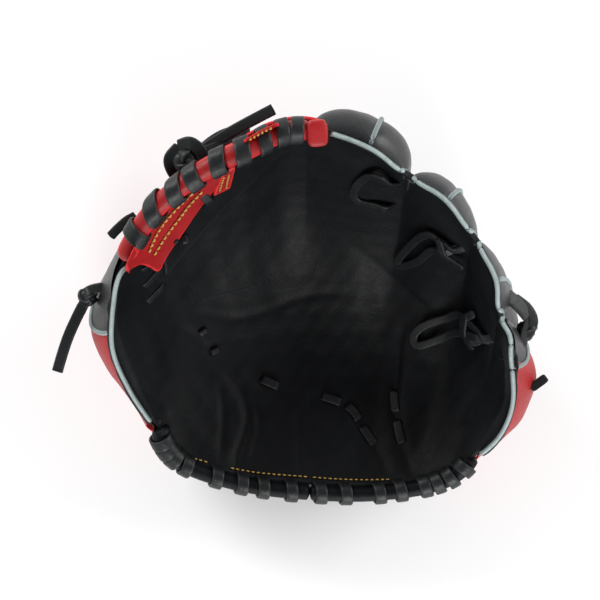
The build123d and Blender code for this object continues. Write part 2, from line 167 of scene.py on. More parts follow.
def directions(s, t):
    """Unit vectors across the face, up the face and out of it into the pocket."""
    step = 1e-3
    s, t = np.broadcast_arrays(np.asarray(s, float), np.asarray(t, float))
    across = face(np.clip(s + step, -1, 1), t) - face(np.clip(s - step, -1, 1), t)
    up = face(s, np.clip(t + step, 0, 1)) - face(s, np.clip(t - step, 0, 1))
    return [unit(vectors) for vectors in (across, up, np.cross(across, up))]


def behind(s, t):
    """Unit vectors into the stalls: away from the pocket, and hanging down towards the outer seams."""
    s, t = np.broadcast_arrays(np.asarray(s, float), np.asarray(t, float))
    sag = STALL_SAG + HEEL_SAG * (1 - smooth_step(0, 0.5, t)) + TIP_SAG * smooth_step(0.7, 1, t)
    way = -directions(s, t)[2]
    way[..., 2] -= sag * smooth_step(0.2, 0.8, np.abs(s))
    return unit(way)


def place(s, t, w=0.0, beyond=0.0, aside=0.0):
    """Points w above the face, moved beyond it up the face and aside across it."""
    across, up, out = directions(s, t)
    w, beyond, aside = (np.asarray(v, float)[..., None] for v in (w, beyond, aside))
    hide = LEATHER + SEAM
    offset = np.maximum(w, -hide) * out + np.maximum(-w - hide, 0) * behind(s, t)
    return face(s, t) + offset + beyond * up + aside * across


# ---- Mesh making ----
def make(name, parts, finish, follow, *replaced):
    """A smooth-shaded piece from points in millimetres. follow ties it to a body or bakes it where it stands.
    """
    points, faces, wear = parts
    material, slot = finish
    mesh = bpy.data.meshes.new(name)
    mesh.from_pydata((np.asarray(points, float) * MM).tolist(), [], [list(f) for f in faces])
    mesh.polygons.foreach_set("use_smooth", [True] * len(mesh.polygons))
    attribute = mesh.attributes.new("wear", "FLOAT", "POINT")
    attribute.data.foreach_set("value", np.asarray(wear, np.float32))
    mesh.materials.append(material)
    mesh.update()
    piece = bpy.data.objects.new(name, mesh)
    bpy.context.collection.objects.link(piece)
    if replaced:
        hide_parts(*replaced)
    follow(piece)
    return piece


def merge(parts):
    """One set of points, faces and wear from several."""
    points, faces, wear, offset = [], [], [], 0
    for part_points, part_faces, part_wear in parts:
        points.append(part_points)
        faces.extend([[i + offset for i in f] for f in part_faces])
        wear.append(part_wear)
        offset += len(part_points)
    return np.vstack(points), faces, np.concatenate(wear)


RIM_STEPS = 5


def shell(front, back, keep=None, open_columns=()):
    """Points, faces and wear of leather between two grids of points, with a rounded rim.

    keep says which cells exist. A rim isn't built where both ends of an edge are in open_columns,
    so that two pieces can meet there."""
    rows, columns = front.shape[:2]
    keep = np.ones((rows - 1, columns - 1), bool) if keep is None else keep
    index = np.arange(rows * columns).reshape(rows, columns)
    r, c = np.nonzero(keep)
    top = np.stack([index[r, c], index[r, c + 1], index[r + 1, c + 1], index[r + 1, c]], 1)
    count = rows * columns
    points = [front.reshape(-1, 3), back.reshape(-1, 3)]
    faces = top.tolist() + (top[:, ::-1] + count).tolist()
    middles = (front.reshape(-1, 3) + back.reshape(-1, 3)) / 2
    edges = {}
    for quad in top.tolist():
        for a, b, opposite in zip(quad, quad[1:] + quad[:1], quad[3:] + quad[:3]):
            if (b, a) in edges:
                del edges[(b, a)]
            else:
                edges[(a, b)] = opposite
    edge_wear = np.zeros(count)
    outward = np.zeros((count, 3))
    column_of = np.tile(np.arange(columns), rows)
    edges = {
        (a, b): o
        for (a, b), o in edges.items()
        if not (column_of[a] in open_columns and column_of[b] in open_columns)
    }
    for (a, b), opposite in edges.items():
        away = middles[a] - middles[opposite]
        tangent = middles[b] - middles[a]
        length = np.linalg.norm(tangent)
        if length > 1e-9:
            away = away - tangent * (away @ tangent) / length**2
        size = np.linalg.norm(away)
        if size > 1e-9:
            outward[a] += away / size
            outward[b] += away / size
    rim_points, rim_index, extra = [], {}, 2 * count
    for v in sorted({v for edge in edges for v in edge}):
        half = (points[0][v] - points[1][v]) / 2
        size = np.linalg.norm(outward[v])
        away = outward[v] / max(size, 1e-9) * np.linalg.norm(half) * 0.9
        turns = np.linspace(0, pi, RIM_STEPS + 2)[1:-1]
        rim_points.extend(middles[v] + half * np.cos(a) + away * np.sin(a) for a in turns)
        rim_index[v] = [v, *range(extra, extra + len(turns)), v + count]
        extra += len(turns)
        edge_wear[v] = 1
    for a, b in edges:
        rim_a, rim_b = rim_index[a], rim_index[b]
        for k in range(RIM_STEPS + 1):
            faces.append([rim_b[k], rim_a[k], rim_a[k + 1], rim_b[k + 1]])
    points.append(np.array(rim_points))
    wear = np.concatenate([edge_wear, edge_wear, np.ones(len(rim_points))])
    return tidy(np.vstack(points), faces, wear)


def tidy(points, faces, wear):
    """Leaves out points that no face uses."""
    used = np.unique(np.array(faces).ravel())
    renumber = np.zeros(len(points), int)
    renumber[used] = np.arange(len(used))
    return points[used], renumber[np.array(faces)].tolist(), wear[used]


def sweep(path, ups, section, taper=None):
    """Points, faces and wear of a section swept along a path; ups point out of its flat side.

    taper is the number of rings over which each end closes, and a path without it is a loop."""
    path, ups = np.asarray(path, float), np.asarray(ups, float)
    if taper:
        forward = unit(np.gradient(path, axis=0))
    else:
        forward = unit(np.roll(path, -1, 0) - np.roll(path, 1, 0))
    ups = unit(ups - (ups * forward).sum(1, keepdims=True) * forward)
    side = np.cross(forward, ups)
    count, ring = len(path), len(section)
    scale = np.ones((count, 1))
    if taper:
        ends = np.minimum(np.arange(count), np.arange(count)[::-1])[:, None] / taper
        scale = np.sqrt(1 - (1 - ends.clip(0, 1)) ** 2).clip(0.3)
    x, y = section.T
    points = path[:, None] + side[:, None] * (x * scale)[..., None]
    points = (points + ups[:, None] * (y * scale)[..., None]).reshape(-1, 3)
    wear = np.tile((np.abs(x) / np.abs(x).max()) ** 6, count)
    faces = []
    for i in range(count - 1 if taper else count):
        j = (i + 1) % count
        for k in range(ring):
            n = (k + 1) % ring
            faces.append([i * ring + k, i * ring + n, j * ring + n, j * ring + k])
    if taper:
        for i, order in ((0, 1), (count - 1, -1)):
            middle = len(points)
            points, wear = np.vstack([points, path[i]]), np.append(wear, 1.0)
            for k in range(ring):
                faces.append([middle, i * ring + (k + 1) % ring, i * ring + k][::order])
    return points, faces, wear


def strap_section(width, thickness, corner=0.35, count=20):
    """Rounded rectangle, flat across."""
    a = np.linspace(0, 2 * pi, count, endpoint=False) + pi / count
    x = np.sign(np.cos(a)) * np.abs(np.cos(a)) ** corner * width / 2
    y = np.sign(np.sin(a)) * np.abs(np.sin(a)) ** (corner + 0.25) * thickness / 2
    return np.stack([x, y], 1)


def round_section(radius, count=14):
    a = np.linspace(0, 2 * pi, count, endpoint=False)
    return radius * np.stack([np.cos(a), np.sin(a)], 1)


def lace_on_face(stations, count, width, thickness):
    """A flat lace through (s, t, w) places."""
    s, t, w = line(stations, steps(count)).T
    return sweep(place(s, t, w), directions(s, t)[2], strap_section(width, thickness), taper=3)


# ---- Finishes: each is a material and its slot ----
def new_material(name):
    material = bpy.data.materials.new(name)
    material.use_nodes = True
    nodes, links = material.node_tree.nodes, material.node_tree.links
    return material, nodes, links, nodes["Principled BSDF"]


def node(nodes, kind, **values):
    """A node with its inputs set by name."""
    made = nodes.new(kind)
    for name, value in values.items():
        made.inputs[name.replace("_", " ")].default_value = value
    return made


def ramp(nodes, links, factor, colours, ends=(0, 1)):
    """The colour between two, by a factor that runs from one end to the other."""
    made = nodes.new("ShaderNodeValToRGB")
    for element, colour, end in zip(made.color_ramp.elements, colours, ends):
        element.position = end
        element.color = (*colour, 1)
    links.new(factor, made.inputs["Fac"])
    return made.outputs["Color"]


def bump(nodes, links, height, strength, depth):
    """A bump node, its depth in millimetres."""
    made = node(nodes, "ShaderNodeBump", Strength=strength, Distance=depth * MM)
    links.new(height, made.inputs["Height"])
    return made


def hide(name, slot, dark, light, roughness, grain=0.12, crease=0.5, grain_scale=850.0, sheen=0.3):
    """Leather: mottled colour, fine pebbled grain, soft creases and paler worn edges."""
    material, nodes, links, shader = new_material(name)
    where = nodes.new("ShaderNodeTexCoord")
    cloud = node(nodes, "ShaderNodeTexNoise", Scale=38.0, Detail=5.0, Roughness=0.6)
    fine = node(nodes, "ShaderNodeTexNoise", Scale=420.0, Detail=3.0, Roughness=0.7)
    pores = node(nodes, "ShaderNodeTexVoronoi", Scale=grain_scale)
    pores.feature = "SMOOTH_F1"
    folds = node(nodes, "ShaderNodeTexNoise", Scale=90.0, Detail=6.0, Roughness=0.55, Distortion=1.2)
    for texture in (cloud, fine, pores, folds):
        links.new(where.outputs["Object"], texture.inputs["Vector"])
    base = ramp(nodes, links, cloud.outputs["Fac"], (dark, light), (0.32, 0.78))
    wear = nodes.new("ShaderNodeAttribute")
    wear.attribute_name = "wear"
    scuff = nodes.new("ShaderNodeMath")
    scuff.operation = "MULTIPLY"
    links.new(wear.outputs["Fac"], scuff.inputs[0])
    links.new(fine.outputs["Fac"], scuff.inputs[1])
    worn = nodes.new("ShaderNodeMix")
    worn.data_type = "RGBA"
    links.new(scuff.outputs[0], worn.inputs["Factor"])
    links.new(base, worn.inputs[6])
    worn.inputs[7].default_value = (*[min(1.0, v * 2.2 + 0.01) for v in light], 1)
    links.new(worn.outputs[2], shader.inputs["Base Color"])
    rough = nodes.new("ShaderNodeMapRange")
    rough.inputs["To Min"].default_value = roughness - 0.09
    rough.inputs["To Max"].default_value = roughness + 0.12
    links.new(fine.outputs["Fac"], rough.inputs["Value"])
    links.new(rough.outputs["Result"], shader.inputs["Roughness"])
    grained = bump(nodes, links, pores.outputs["Distance"], 0.55, grain)
    folded = bump(nodes, links, folds.outputs["Fac"], 0.6, crease)
    links.new(grained.outputs["Normal"], folded.inputs["Normal"])
    links.new(folded.outputs["Normal"], shader.inputs["Normal"])
    shader.inputs["Specular IOR Level"].default_value = sheen
    return material, slot


def fibrous(name, texture, values, colours, ends, strength, depth, roughness, fuzz):
    """Thread, felt or fleece: one texture gives the colour and the relief."""
    material, nodes, links, shader = new_material(name)
    where = nodes.new("ShaderNodeTexCoord")
    fibres = node(nodes, texture, **values)
    links.new(where.outputs["Object"], fibres.inputs["Vector"])
    colour = ramp(nodes, links, fibres.outputs["Fac"], colours, ends)
    links.new(colour, shader.inputs["Base Color"])
    relief = bump(nodes, links, fibres.outputs["Fac"], strength, depth)
    links.new(relief.outputs["Normal"], shader.inputs["Normal"])
    shader.inputs["Roughness"].default_value = roughness
    shader.inputs["Sheen Weight"].default_value = fuzz
    return material


def thread(name, colour):
    """Twisted thread: fine bands across it."""
    values = {"Scale": 420.0, "Distortion": 2.0, "Detail": 2.0}
    colours = ([v * 0.55 for v in colour], colour)
    return fibrous(name, "ShaderNodeTexWave", values, colours, (0, 1), 0.5, 0.1, 0.5, 0.2)


def cloth(name, slot, dark, light, scale, depth):
    """Felt or fleece: matted fibres."""
    values = {"Scale": scale, "Detail": 8.0, "Roughness": 0.8, "Distortion": 1.5}
    ends = (0.35, 0.7)
    made = fibrous(name, "ShaderNodeTexNoise", values, (dark, light), ends, 0.8, depth, 0.95, 0.5)
    return made, slot


# One black leather in two copies: the darker colour on the pocket side is painted shade, the lighter colour
# on the backs is painted light.
SHADED_BLACK = hide(
    "shaded_black_hide", "black_leather", (0.0028, 0.0032, 0.0039), (0.0060, 0.0067, 0.0080), 0.50, sheen=0.13
)
LIT_BLACK_BACK = hide(
    "lit_black_back_hide", "black_leather", (0.0055, 0.0060, 0.0068), (0.012, 0.013, 0.0145), 0.40, sheen=0.5
)
RED = hide("red_hide", "red_leather", (0.26, 0.0065, 0.008), (0.39, 0.013, 0.015), 0.44, sheen=0.3)
LACE = hide(
    "lace_hide", "lace", (0.0045, 0.0055, 0.0060), (0.0110, 0.0125, 0.0135), 0.44, 0.2, 0.25, 600.0, 0.34
)
# Darker copy of the lace for the laces in the pocket: its darker colour is painted shade.
SHADED_POCKET_LACE = hide(
    "shaded_pocket_lace_hide", "lace", (0.0040, 0.0046, 0.0054), (0.009, 0.010, 0.0115), 0.45, 0.2, 0.25, 600.0, 0.26
)
PIPING = hide("piping_hide", "piping", (0.135, 0.17, 0.17), (0.235, 0.28, 0.28), 0.48, 0.1, 0.15, 700.0, 0.4)
LINING = hide(
    "lining_hide", "lining_leather", (0.016, 0.017, 0.019), (0.03, 0.032, 0.035), 0.66, 0.08, 0.3, 1100.0, 0.2
)
GOLD = thread("gold_thread", (0.62, 0.36, 0.045))
GOLD_ON_RED, GOLD_ON_BLACK = (GOLD, "red_leather"), (GOLD, "black_leather")
FELT = cloth("pressed_felt", "felt", (0.30, 0.28, 0.25), (0.52, 0.49, 0.44), 500.0, 0.4)
FLEECE = cloth("fleece_pile", "fleece", (0.012, 0.012, 0.014), (0.05, 0.05, 0.055), 260.0, 1.2)


# ---- How the pieces follow the bodies, or stay where they are ----
def swing():
    """Leaves a piece where it stands, its placement baked into its mesh, on no body."""
    return lambda piece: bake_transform(piece)


def ride(body):
    return lambda piece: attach(piece, body)


swing_thumb = swing()
swing_web = swing()
swing_fingers = swing()
ride_palm, ride_thumb, ride_fingers = ride("palm"), ride("thumb"), ride("fingers")


# ---- The front: one padded hide across the palm, thumb and fingers ----
# Creases as (s, t) places with a width and a depth in millimetres.
CREASES = [
    (((-0.40, 0.27), (-0.33, 0.215), (-0.307, 0.147), (-0.36, 0.07), (-0.38, 0.03)), 2.6, 1.3),
    (((-0.44, 0.24), (-0.433, 0.16), (-0.463, 0.04)), 2.2, 0.7),
    (((-0.27, 0.20), (-0.25, 0.13), (-0.29, 0.05)), 2.4, 0.6),
    (((-0.06, 0.16), (-0.05, 0.10), (-0.05, 0.04)), 3.0, 0.5),
    (((0.00, 0.20), (0.157, 0.19), (0.24, 0.145), (0.30, 0.115), (0.39, 0.05)), 2.8, 1.2),
    (((0.33, 0.45), (0.327, 0.38), (0.337, 0.31), (0.343, 0.25), (0.40, 0.16), (0.51, 0.05)), 3.4, 2.0),
    (((-0.30, 0.27), (-0.20, 0.22), (-0.08, 0.205)), 2.4, 0.7),
    (((-0.62, 0.44), (-0.52, 0.37), (-0.44, 0.29)), 2.6, 0.6),
    (((-0.55, 0.47), (-0.35, 0.42), (-0.1, 0.43), (0.1, 0.48)), 3.0, 0.7),
    (((0.12, 0.62), (0.30, 0.58), (0.45, 0.52), (0.55, 0.44)), 3.4, 0.8),
    (((0.55, 0.20), (0.66, 0.26), (0.78, 0.33)), 3.0, 0.4),
    (((-0.95, 0.30), (-0.86, 0.22), (-0.74, 0.17)), 3.2, 0.5),
]
CREASE_POINTS = 24


def crease_depth(places):
    """How far the creases sink each place."""
    sunk = np.zeros(places.shape[:-1])
    flat = places.reshape(-1, 3)
    for stations, width, depth in CREASES:
        s, t = line(stations, CREASE_POINTS).T
        path = face(s, t)
        ends = np.sqrt(np.sin(np.linspace(0.12, pi - 0.12, CREASE_POINTS)))  # shallower at the ends
        near = np.full(len(flat), 1e9)
        fade = np.zeros(len(flat))
        for start, run, share, change in zip(path, np.diff(path, axis=0), ends, np.diff(ends)):
            part = ((flat - start) @ run / (run @ run)).clip(0, 1)
            gap = np.linalg.norm(flat - start - part[:, None] * run, axis=1)
            closer = gap < near
            near = np.where(closer, gap, near)
            fade = np.where(closer, share + change * part, fade)
        sunk += (depth * fade * np.exp(-((near / width) ** 2))).reshape(sunk.shape)
    return sunk


def ripple(places, size, length):
    """Slow uneven waves, the same each time."""
    x, y, z = (places[..., i] / length for i in range(3))
    waves = np.sin(1.7 * x + 0.9 * y + 1.3) + np.sin(-0.8 * x + 1.9 * z + 4.1)
    waves += np.sin(1.1 * y - 1.4 * z + 2.2) + 0.7 * np.sin(2.9 * x + 2.3 * y - 1.9 * z)
    waves += 0.5 * np.sin(4.3 * y + 3.1 * z + 0.7) + 0.5 * np.sin(5.1 * x - 3.7 * y + 5.3)
    return size * waves / 3


def front_height(s, t):
    """Padded shape of the front above the sewn face."""
    height = 3.4 * bell(s, -0.84, 0.17) * bell(t, 0.40, 0.26)
    height += 3.8 * bell(s, 0.80, 0.17) * bell(t, 0.32, 0.24)
    height += 1.2 * bell(s, -0.1, 0.25) * bell(t, 0.12, 0.07)
    for low, high in (*FINGERS.values(), STALLS["little"]):
        q = (2 * s - low - high) / (high - low)
        height += 3.0 * smooth_step(0.5, 0.85, t) * (1 - q**2).clip(0)
    for groove in GROOVES:
        height -= 0.9 * smooth_step(0.70, 1.0, t) * bell(s, groove, 0.040)
    rim = smooth_step(0.0, 0.055, 1 - np.abs(s))
    top = smooth_step(0.0, 0.10, 1 - t)
    low_edge = smooth_step(0.0, 0.05, t)
    return height * rim * (0.35 + 0.65 * top) * low_edge - 1.5 * (1 - rim) - 1.0 * (1 - top)


def skin(s, t, base):
    """Heights of the front of the hide over its sewn face, creased and rippled."""
    flat = face(s, t)
    return base + front_height(s, t) + ripple(flat, *FRONT_RIPPLE) - crease_depth(flat)


def spread(left, right, t, share):
    """s values between two edges, one row for each t."""
    return left(t)[:, None] + share[None, :] * (right(t) - left(t))[:, None]


def fixed(s):
    """An edge at the same s all the way up."""
    return lambda t: s + 0 * t


def split(t):
    """Where the two halves of the front meet, in the middle of the palm."""
    return -0.02 - 0.42 * t


def web_join(t):
    """Where the two halves of the front meet, up the palm and on up the web."""
    shift = WEB_MIDDLE - split(PALM_TOP)
    return split(np.minimum(t, PALM_TOP)) + shift * smooth_step(PALM_TOP, PALM_TOP + 0.03, t)


def crease_gap(t):
    return 0.013 + 0.022 * smooth_step(0.25, 0.5, t)


def thumb_crease(t):
    return -0.37 - 0.17 * t


def thumb_edge(t):
    """Inner edge of the thumb's front: the fold, then the edge along the web."""
    crease = thumb_crease(np.minimum(t, PALM_TOP)) - crease_gap(t)
    return crease + (THUMB_INNER - crease) * smooth_step(PALM_TOP, 0.72, t)


def palm_left(t):
    return thumb_crease(t) + crease_gap(t)


def finger_crease(t):
    return 0.03 + 0.25 * (1 - t / PALM_TOP).clip(0)


def palm_right(t):
    return finger_crease(t) - crease_gap(t)


def finger_edge(t):
    return finger_crease(t) + crease_gap(t)


FINE = 1.0


def steps(count):
    return max(8, int(count * FINE))


def rows_to(top, count):
    """t values from the heel to top, with one at the palm's top edge."""
    below = steps(count * PALM_TOP / top)
    above = steps(count * (top - PALM_TOP) / top)
    rows = np.linspace(HEEL_START, PALM_TOP, below), np.linspace(PALM_TOP, top, above)
    return np.concatenate([rows[0][:-1], rows[1]])


def front_hide(name, s, t, keep, joined, follow, *replaced):
    """Half of the front hide, meeting the other half along one column."""
    t = np.repeat(t[:, None], s.shape[1], 1)
    front = place(s, t, skin(s, t, 0.0))
    back = front - LEATHER * directions(s, t)[2]
    make(name, shell(front, back, keep, {joined % s.shape[1]}), SHADED_BLACK, follow, *replaced)


t = rows_to(THUMB_TOP, 130)
outer = spread(fixed(-1), thumb_edge, t, np.linspace(0, 1, steps(60)))
inner = spread(thumb_edge, split, np.minimum(t, PALM_TOP), np.linspace(0, 1, steps(50))[1:])
s = np.concatenate([outer, inner], 1)
keep = np.ones((s.shape[0] - 1, s.shape[1] - 1), bool)
keep[t[:-1] >= PALM_TOP - 1e-9, outer.shape[1] - 1 :] = False
front_hide("thumb_front_hide", s, t, keep, -1, swing_thumb, "thumb_palm_leather")

t = rows_to(1.0, 150)
inner = spread(web_join, fixed(0.03), t, np.linspace(0, 1, steps(70)))
outer = spread(fixed(0.03), fixed(1), t, np.linspace(0, 1, steps(190)))[:, 1:]
s = np.concatenate([inner, outer], 1)
replaced = ["finger_palm_leather", "palm_leather"]
front_hide("finger_front_hide", s, t, None, 0, swing_fingers, *replaced)


# ---- Padding and lining behind the front ----
def grid(left, right, t_range, rows, columns):
    """s and t over a strip between two edges."""
    t = np.linspace(*t_range, steps(rows))
    s = spread(left, right, t, np.linspace(0, 1, steps(columns)))
    return s, np.repeat(t[:, None], s.shape[1], 1)


def layer(s, t, top, thickness, joined=None):
    """A layer under the height top. joined says which side meets another piece, with no rim."""
    columns = {"left": {0}, "right": {s.shape[1] - 1}}.get(joined, ())
    return shell(place(s, t, top), place(s, t, top - thickness), None, columns)


def patch(left, right, t_range, front, back, columns=40, rows=40):
    """A plain, slightly uneven layer between two heights."""
    s, t = grid(left, right, t_range, rows, columns)
    return layer(s, t, front + ripple(face(s, t), 0.25, 7.0), front - back)


PAD_TOP, PAD_BOTTOM, LINING_TOP = -3.9, -8.3, -8.7
PALM_LAYERS_TOP = 0.455
for half, left, right, follow, felt_node, lining_node in (
    ("thumb", palm_left, split, swing_thumb, ["palm_pad"], ["palm_liner"]),
    ("little", split, palm_right, swing_fingers, [], []),
):
    felt = patch(left, right, (0.08, PALM_LAYERS_TOP), PAD_TOP, PAD_BOTTOM)
    felt = make("palm_felt_" + half + "_half", felt, FELT, follow, *felt_node)
    lining = patch(left, right, (0.04, PALM_LAYERS_TOP), LINING_TOP, LINING_TOP - 1.4)
    make("palm_lining_" + half + "_half", lining, LINING, follow, *lining_node)
for side, left, right, follow in (
    ("thumb", fixed(-0.9), thumb_edge, swing_thumb),
    ("little", finger_edge, fixed(0.9), swing_fingers),
):
    felt = patch(left, right, (0.11, 0.34), PAD_TOP, PAD_BOTTOM)
    make(side + "_felt", felt, FELT, follow, side + "_heel_pad")
for side, left, right, follow in (
    ("thumb", fixed(-0.92), lambda t: thumb_edge(t) + 0.01, swing_thumb),
    ("little", lambda t: finger_edge(t) - 0.01, fixed(0.92), swing_fingers),
):
    lining = patch(left, right, (0.09, 0.36), LINING_TOP, LINING_TOP - 1.2)
    make(side + "_heel_lining", lining, LINING, follow)


# ---- Backs of the stalls ----
def half_turn(count):
    return np.linspace(-pi / 2, pi / 2, steps(count))


def dome(around, down):
    """Height of a rounded cap: 1 in the middle and 0 along its edge."""
    q, b = np.sin(around), np.sin(down)
    return np.cos(around) * np.sqrt(1 + q**2) * np.cos(down) * np.sqrt((1 + b**2) * (1 + b**4))


def finger_back(finger, around, down, inset=0.0, skin_depth=0.0):
    """Places (s, t, w) on the domed back of a finger."""
    s_low, s_high = FINGERS[finger]
    knuckle, at_tip = KNUCKLES[finger], TIP_THICKNESS[finger]
    b = np.sin(down)
    half = (s_high - s_low) / 2 - 0.004 - inset
    s = (s_low + s_high) / 2 + half * np.sin(around)
    t = knuckle + (0.992 - knuckle - inset * 0.5) * b
    thickness = at_tip + (KNUCKLE_THICKNESS - at_tip) * (1 - b) ** 1.5 - skin_depth
    return s, t, BACK_LEVEL - thickness * dome(around, down)


def back_places(finger, around, down, inset=0.0, skin_depth=0.0, lift=0.0):
    """The same back as points, swollen past the fingertip and with a seam down its middle."""
    s, t, w = finger_back(finger, around, down, inset, skin_depth)
    swell = BACK_SWELL[finger] * np.cos(around) * 2.6 * np.sin(down) ** 2 * np.cos(down)
    places = place(s, t, w - lift, beyond=swell)
    seam = bell(around, 0.0, 0.10) * 0.7
    return places + directions(s, t)[2] * (seam + ripple(places, 0.3, 8.0))[..., None]


around, down = np.meshgrid(half_turn(72), np.linspace(0, pi / 2, steps(80)))
for finger in FINGERS:
    outside = back_places(finger, around, down)
    inside = back_places(finger, around, down, 0.012, LEATHER)
    make(finger + "_back_hide", shell(inside, outside), LIT_BLACK_BACK, ride_fingers, finger + "_back")


def side_aside(seam, around, t):
    """How far the thumb's back swells sideways."""
    outward = (seam - 1) / 2 * SIDE_SWELL * np.cos(around) * (1 - np.sin(around)) / 1.3
    return outward * smooth_step(0.35, 0.75, t)


def side_tip(t):
    """Share of a side back's depth left towards its tip."""
    return np.sqrt((1 - ((t - SIDE_TIP) / (1 - SIDE_TIP)).clip(0, 1) ** 2).clip(0))


def side_back(seam, inner, open_edge, t_range, inset, skin_depth, leaning):
    """Back of the thumb or little finger: a closed stall above and half a wrap over the hand."""
    around, share = np.meshgrid(half_turn(72), np.linspace(0, 1, steps(90)))
    x = (1 + np.sin(around)) / 2
    low, high = (limit - LITTLE_LEAN * lean * x for limit, lean in zip(t_range, leaning))
    t = low + (high - low) * share
    opening = 1 - smooth_step(0.27, 0.43, t)
    side = np.sign(inner - seam)
    edge = inner - side * inset + (open_edge - inner + side * inset) * opening
    s = seam + side * inset + x * (edge - seam - side * inset)
    closed = (THUMB_THICKNESS - skin_depth) * np.cos(around) * np.sqrt(1 + np.sin(around) ** 2)
    wrap = (HAND_ROOM + LEATHER - SEAM - skin_depth) * np.sqrt(1 - (1 - x) ** 2.5)
    depth = (closed + (wrap - closed) * opening) * side_tip(t)
    tucked = 0.8 * (1 - x) ** 6
    level = BACK_LEVEL - depth - tucked + ripple(face(s, t), *FRONT_RIPPLE)
    return place(s, t, level, aside=side_aside(seam, around, t))


THUMB_EDGES, LITTLE_EDGES = (-1, THUMB_INNER, THUMB_OPEN), (1, LITTLE_INNER, LITTLE_OPEN)
for name, edges, low, high, inner_high, finish, follow, leaning in (
    ("thumb_back_red", THUMB_EDGES, 0.06, 0.80, 0.80, RED, ride_thumb, (0, 0)),
    ("thumb_back_tip", THUMB_EDGES, 0.81, 0.9985, 0.985, LIT_BLACK_BACK, ride_thumb, (0, 0)),
    ("little_back_red", LITTLE_EDGES, 0.06, 0.955, 0.955, RED, ride_fingers, (0, 1)),
    ("little_back_tip", LITTLE_EDGES, 0.965, 0.9985, 0.985, LIT_BLACK_BACK, ride_fingers, (1, 0)),
):
    outside = side_back(*edges, (low, high), 0.0, 0, leaning)
    inside = side_back(*edges, (low, inner_high), 0.016, LEATHER, leaning)
    make(name + "_hide", shell(inside, outside), finish, follow, name)


# ---- Linings, stiffeners and loops of the stalls ----
def liner(s_low, s_high, skin_depth):
    """The outer face of a stall's lining, or its inner face skin_depth further in."""
    around, down = np.meshgrid(half_turn(30), np.linspace(0, pi / 2, steps(36)))
    half = (s_high - s_low) / 2 - 0.045 - skin_depth * 0.009
    s = (s_low + s_high) / 2 + half * np.sin(around)
    t = 0.47 + (0.38 - skin_depth * 0.006) * np.sin(down)
    return place(s, t, -5 - (13 - skin_depth) * dome(around, down))


for stall, span in STALLS.items():
    follow = ride_thumb if stall == "thumb" else ride_fingers
    parts = shell(liner(*span, 1.5), liner(*span, 0))
    make(stall + "_lining", parts, LINING, follow, stall + "_liner")

for stall, low, high, follow in (
    ("thumb", -0.92, -0.80, ride_thumb),
    ("little", 0.86, 0.96, ride_fingers),
):
    stay = patch(fixed(low), fixed(high), (0.37, 0.86), PAD_TOP, PAD_TOP - 1.6, 12, 40)
    make(stall + "_stiffener", stay, LINING, follow, stall + "_stay")
    loop = patch(fixed(low), fixed(high), (0.40, 0.44), -13.5, -15, 16, 8)
    make(stall + "_finger_loop", loop, LINING, follow, stall + "_loop")

# ---- Wrist strap and its fleece ----
for half, low, high, joined, follow, replaced in (
    ("thumb", -0.585, 0.02, "right", swing_thumb, ["wrist_strap"]),
    ("little", 0.02, 0.645, "left", swing_fingers, []),
):
    s, t = grid(fixed(low), fixed(high), (0.03, 0.20), 40, 70)
    strap = layer(s, t, -HAND_ROOM + ripple(face(s, t), 0.3, 9.0), LEATHER, joined)
    make("wrist_strap_" + half, strap, LIT_BLACK_BACK, follow, *replaced)
fleece = patch(
    fixed(-0.44), fixed(0.50), (0.045, 0.185), -HAND_ROOM + 4.3, -HAND_ROOM + 0.4, 80, 30
)
make("wrist_fleece_pad", fleece, FLEECE, ride_palm, "wrist_fleece")


# ---- Web ----
def web_line(s):
    """t of the folded edge that runs across the web below the red panel."""
    return 0.807 + (s + 0.37) * 0.468


def web_half(left, right, low, level, joined):
    """One half of a web layer, dipping where it passes under the palm's top edge."""
    s, t = grid(left, right, (low, WEB_TOP), 80, 60)
    level = level - 0.5 * (1 - smooth_step(PALM_TOP - 0.005, PALM_TOP + 0.01, t))
    level = level - 1.2 * (1 - smooth_step(PALM_TOP - 0.03, PALM_TOP - 0.01, t))
    return layer(s, t, skin(s, t, level), 2.2, joined)


def web_left(t):
    return thumb_edge(t) - 0.012


def outer_join(t):
    """The back layer's halves meet off the front's join, so that no gap goes right through."""
    return web_join(t) + 0.04


WEB_LOW, OUTER_LEVEL = PALM_TOP - 0.10, -6.0
half = web_half(web_left, web_join, WEB_LOW, 0.0, "right")
make("web_front_thumb_half", half, SHADED_BLACK, swing_web, "web_panel")
# The front layer's other half is one hide with the index finger's front.
half = web_half(web_left, outer_join, WEB_LOW, OUTER_LEVEL, "right")
make("web_outer_thumb_half", half, RED, swing_web, "web_post_outer")
half = web_half(outer_join, fixed(0.022), PALM_TOP - 0.02, OUTER_LEVEL, "left")
make("web_outer_index_half", half, RED, swing_fingers)

# Folded band across the top of the web, with a free lower edge that catches the light.
for half, low, high, joined, follow, replaced in (
    ("thumb", -0.66, WEB_MIDDLE, "right", swing_web, ["web_post"]),
    ("index", WEB_MIDDLE, -0.02, "left", swing_fingers, []),
):
    s, share = np.meshgrid(np.linspace(low, high, steps(50)), np.linspace(0, 1, steps(30)))
    t = web_line(s) + share * (WEB_TOP - web_line(s))
    band = layer(s, t, 1.9 + ripple(face(s, t), 0.3, 9.0), 1.9, joined)
    make("web_band_" + half + "_half", band, SHADED_BLACK, follow, *replaced)

